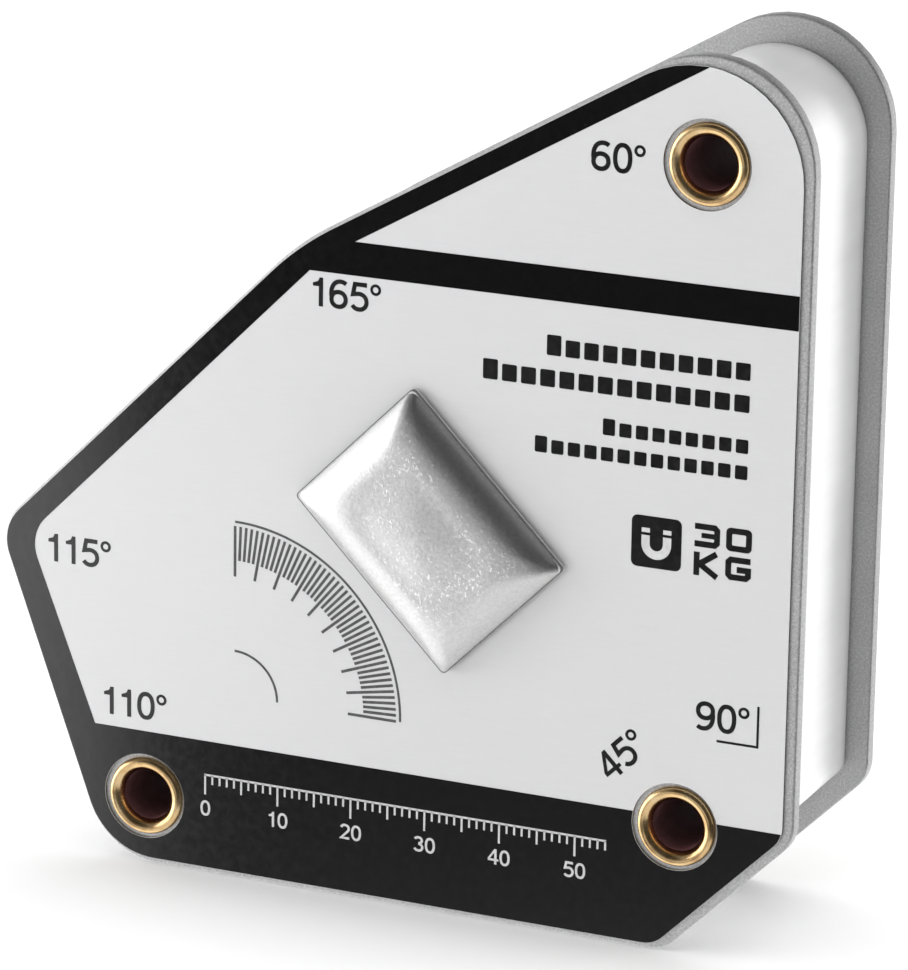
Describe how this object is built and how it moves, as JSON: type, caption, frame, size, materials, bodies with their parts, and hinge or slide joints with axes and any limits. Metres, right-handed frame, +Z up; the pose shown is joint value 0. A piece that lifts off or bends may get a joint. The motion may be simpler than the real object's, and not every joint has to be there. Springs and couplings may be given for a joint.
{
  "type": "switchable welding magnet",
  "caption": "Polygonal welding magnet with fixed working angles: two steel cheek plates on a recessed metal body, hollow brass corner rivets and a rectangular quarter-turn knob.",
  "frame": {"origin": "on the plane the bottom edge stands on, under the middle of the whole object's width and depth", "axes": "+X to the right along the bottom edge seen from the knob side, +Y from the knob side to the back, +Z up"},
  "size_m": [0.1062, 0.0336, 0.1111],
  "materials": {
    "cheek_steel": "matte blasted sheet",
    "body_aluminium": "smooth bright",
    "label_print": "printed silver foil",
    "rivet_brass": "bright, lightly worn",
    "bush_brass": "turned",
    "soft_iron": "machined",
    "spacer_aluminium": "machined",
    "magnet_plating": "nickel plated",
    "screw_steel": "blackened",
    "thrust_nylon": "moulded",
    "seal_rubber": "matte",
    "knob_metal": "satin blasted"
  },
  "bodies": {
    "housing": {"front_plate": "cheek_steel", "back_plate": "cheek_steel", "body_frame": "body_aluminium", "front_label": "label_print", "top_rivet": "rivet_brass", "left_rivet": "rivet_brass", "right_rivet": "rivet_brass", "front_bush": "bush_brass", "rear_bush": "bush_brass", "left_pole_shoe": "soft_iron", "right_pole_shoe": "soft_iron", "rear_shim": "spacer_aluminium", "front_shim": "spacer_aluminium", "upper_divider": "spacer_aluminium", "lower_divider": "spacer_aluminium", "stop_pin": "screw_steel"},
    "rotor": {"rotor_front_cap": "bush_brass", "rotor_rear_cap": "bush_brass", "upper_rotor_pole": "soft_iron", "lower_rotor_pole": "soft_iron", "front_magnet": "magnet_plating", "rear_magnet": "magnet_plating", "upper_rotor_screw": "screw_steel", "lower_rotor_screw": "screw_steel", "front_thrust_washer": "thrust_nylon", "rear_thrust_washer": "thrust_nylon", "shaft_seal_ring": "seal_rubber", "knob": "knob_metal"}
  },
  "joints": [
    {"name": "knob_turn", "type": "hinge", "parent": "housing", "child": "rotor", "pos_m": [0.00559, -0.0149, 0.0492], "axis": [0, 1, 0], "range_deg": [0, 90]}
  ]
}
